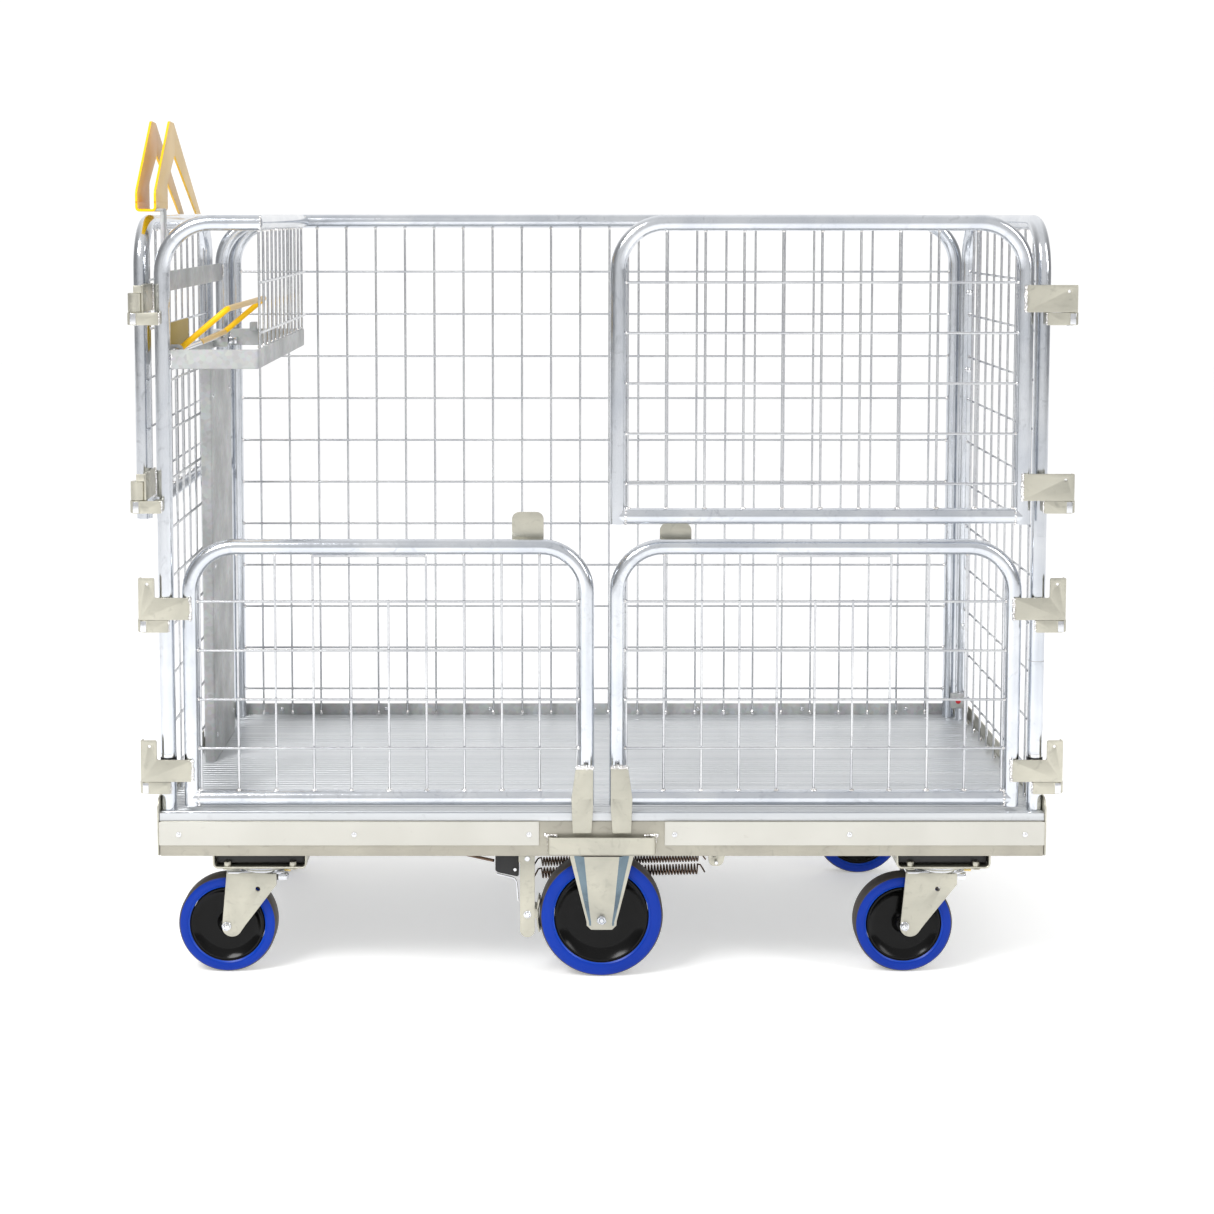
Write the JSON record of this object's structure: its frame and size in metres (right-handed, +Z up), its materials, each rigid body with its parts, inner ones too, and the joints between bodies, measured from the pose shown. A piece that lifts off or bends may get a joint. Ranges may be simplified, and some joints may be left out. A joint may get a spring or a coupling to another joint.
{
  "type": "roll cage container",
  "caption": "Wire mesh roll cage trolley with four folding half doors, swivel and fixed wheels, a handle bay and a dead-man brake",
  "frame": {"origin": "On the ground under the middle of the trolley's bounding box, with the upper left door folded back; the middle of the deck is 19 mm in front of it.", "axes": "+Z up, +X along the length to the right, +Y from the doors to the back panel."},
  "size_m": [1.498, 0.7355, 1.3935],
  "materials": {
    "zinc_tube": "bright zinc-plated round steel tube and wire",
    "zinc_plate": "zinc-plated sheet and plate with a slight cream tint",
    "cream_cover": "satin cream-grey cover strip",
    "deck_aluminium": "satin extruded aluminium plank with fine ribs",
    "blue_tyre": "elastic blue rubber tyre",
    "black_hub": "black moulded nylon",
    "dark_spring": "oiled dark spring steel",
    "yellow_handle": "yellow powder coat"
  },
  "bodies": {
    "trolley": {"base_frame": "zinc_plate", "deck_plank_1": "deck_aluminium", "deck_plank_2": "deck_aluminium", "deck_plank_3": "deck_aluminium", "deck_plank_4": "deck_aluminium", "front_cover_left": "cream_cover", "front_cover_right": "cream_cover", "back_sill": "zinc_plate", "end_skirt_left": "zinc_plate", "end_skirt_right": "zinc_plate", "keeper_strap": "zinc_plate", "back_panel": "zinc_tube", "right_end_panel": "zinc_tube", "left_end_panel": "zinc_tube", "handle_bay_wall": "zinc_tube", "bay_strip": "zinc_plate", "linkage_cover": "zinc_plate", "hinge_bracket_right_bottom": "zinc_plate", "hinge_bracket_right_lower": "zinc_plate", "hinge_bracket_right_middle": "zinc_plate", "hinge_bracket_right_top": "zinc_plate", "hinge_bracket_left_bottom": "zinc_plate", "hinge_bracket_left_lower": "zinc_plate", "hinge_bracket_left_middle": "zinc_plate", "hinge_bracket_left_top": "zinc_plate", "castor_mount_front_left": "zinc_plate", "castor_mount_front_right": "zinc_plate", "castor_mount_rear_left": "zinc_plate", "castor_mount_rear_right": "zinc_plate", "centre_fork_front": "zinc_plate", "centre_fork_rear": "zinc_plate", "brake_cable_block": "black_hub", "brake_rod": "dark_spring", "spring_anchor": "zinc_plate", "brake_spring_upper": "dark_spring", "brake_spring_lower": "dark_spring", "upper_handle": "yellow_handle"},
    "upper_right_door": {"upper_right_door": "zinc_tube"},
    "upper_left_door": {"upper_left_door": "zinc_tube"},
    "lower_right_door": {"lower_right_door": "zinc_tube"},
    "lower_left_door": {"lower_left_door": "zinc_tube"},
    "castor_front_left": {"castor_fork_front_left": "zinc_plate"},
    "castor_front_right": {"castor_fork_front_right": "zinc_plate"},
    "castor_rear_left": {"castor_fork_rear_left": "zinc_plate"},
    "castor_rear_right": {"castor_fork_rear_right": "zinc_plate"},
    "wheel_front_left": {"castor_front_left_tyre": "blue_tyre", "castor_front_left_hub": "black_hub"},
    "wheel_front_right": {"castor_front_right_tyre": "blue_tyre", "castor_front_right_hub": "black_hub"},
    "wheel_rear_left": {"castor_rear_left_tyre": "blue_tyre", "castor_rear_left_hub": "black_hub"},
    "wheel_rear_right": {"castor_rear_right_tyre": "blue_tyre", "castor_rear_right_hub": "black_hub"},
    "wheel_centre_front": {"centre_front_tyre": "blue_tyre", "centre_front_hub": "black_hub"},
    "wheel_centre_rear": {"centre_rear_tyre": "blue_tyre", "centre_rear_hub": "black_hub"},
    "brake_lever": {"brake_lever": "yellow_handle"},
    "brake_arm": {"brake_arm": "zinc_plate", "brake_shoe": "zinc_plate"}
  },
  "joints": [
    {"name": "upper_right_door_hinge", "type": "hinge", "parent": "trolley", "child": "upper_right_door", "pos_m": [0.735, -0.3545, 0.98], "axis": [0, 0, 1], "range_deg": [0, 270]},
    {"name": "upper_left_door_hinge", "type": "hinge", "parent": "trolley", "child": "upper_left_door", "pos_m": [-0.735, -0.3545, 0.98], "axis": [0, 0, 1], "range_deg": [0, 270]},
    {"name": "lower_right_door_hinge", "type": "hinge", "parent": "trolley", "child": "lower_right_door", "pos_m": [0.731, -0.329, 0.5], "axis": [0, 0, 1], "range_deg": [0, 270]},
    {"name": "lower_left_door_hinge", "type": "hinge", "parent": "trolley", "child": "lower_left_door", "pos_m": [-0.731, -0.329, 0.5], "axis": [0, 0, -1], "range_deg": [0, 270]},
    {"name": "castor_front_left_swivel", "type": "hinge", "parent": "trolley", "child": "castor_front_left", "pos_m": [-0.552, -0.291, 0.175], "axis": [0, 0, 1], "continuous": true},
    {"name": "castor_front_right_swivel", "type": "hinge", "parent": "trolley", "child": "castor_front_right", "pos_m": [0.552, -0.291, 0.175], "axis": [0, 0, 1], "continuous": true},
    {"name": "castor_rear_left_swivel", "type": "hinge", "parent": "trolley", "child": "castor_rear_left", "pos_m": [-0.552, 0.233, 0.175], "axis": [0, 0, 1], "continuous": true},
    {"name": "castor_rear_right_swivel", "type": "hinge", "parent": "trolley", "child": "castor_rear_right", "pos_m": [0.552, 0.233, 0.175], "axis": [0, 0, 1], "continuous": true},
    {"name": "wheel_front_left_spin", "type": "hinge", "parent": "castor_front_left", "child": "wheel_front_left", "pos_m": [-0.61, -0.291, 0.08], "axis": [0, 1, 0], "continuous": true},
    {"name": "wheel_front_right_spin", "type": "hinge", "parent": "castor_front_right", "child": "wheel_front_right", "pos_m": [0.494, -0.291, 0.08], "axis": [0, 1, 0], "continuous": true},
    {"name": "wheel_rear_left_spin", "type": "hinge", "parent": "castor_rear_left", "child": "wheel_rear_left", "pos_m": [-0.61, 0.233, 0.08], "axis": [0, 1, 0], "continuous": true},
    {"name": "wheel_rear_right_spin", "type": "hinge", "parent": "castor_rear_right", "child": "wheel_rear_right", "pos_m": [0.494, 0.233, 0.08], "axis": [0, 1, 0], "continuous": true},
    {"name": "wheel_centre_front_spin", "type": "hinge", "parent": "trolley", "child": "wheel_centre_front", "pos_m": [0, -0.311, 0.1], "axis": [0, 1, 0], "continuous": true},
    {"name": "wheel_centre_rear_spin", "type": "hinge", "parent": "trolley", "child": "wheel_centre_rear", "pos_m": [0, 0.301, 0.1], "axis": [0, 1, 0], "continuous": true},
    {"name": "brake_lever_pull", "type": "hinge", "parent": "trolley", "child": "brake_lever", "pos_m": [-0.683, 0.014, 1.016], "axis": [0, -1, 0], "range_deg": [0, 30], "stiffness_Nm_per_rad": 3},
    {"name": "brake_arm_swing", "type": "hinge", "parent": "trolley", "child": "brake_arm", "pos_m": [-0.12, -0.311, 0.197], "axis": [0, 1, 0], "range_deg": [0, 6.5]}
  ],
  "couplings": [
    {"joint": "brake_arm_swing", "follows": "brake_lever_pull", "ratio": 0.2}
  ]
}
